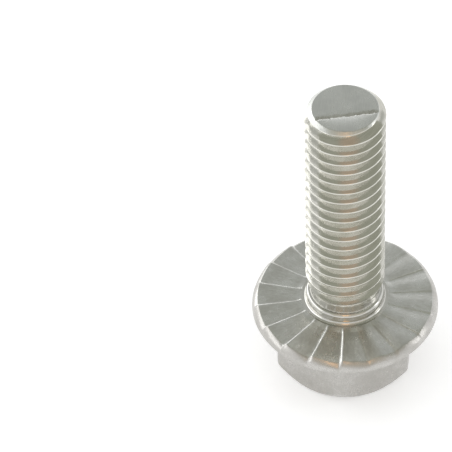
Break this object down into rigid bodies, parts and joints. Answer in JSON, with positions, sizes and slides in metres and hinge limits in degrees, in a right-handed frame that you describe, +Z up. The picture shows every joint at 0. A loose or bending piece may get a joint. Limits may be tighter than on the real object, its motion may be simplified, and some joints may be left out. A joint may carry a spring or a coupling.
{
  "type": "flange bolt",
  "caption": "Hexagon head bolt with a washer flange whose bearing face is serrated against loosening, and a short fully threaded shank.",
  "frame": {"origin": "centre of the head's end face, on which the bolt stands", "axes": "+Z up the shank from the head to the tip, +X square to one flat of the hexagon"},
  "size_m": [0.0142, 0.0142, 0.0263],
  "materials": {
    "stainless_steel": "bare stainless steel, satin forged head, bright rolled shank"
  },
  "bodies": {
    "root": {"flange_bolt": "stainless_steel"}
  },
  "joints": []
}
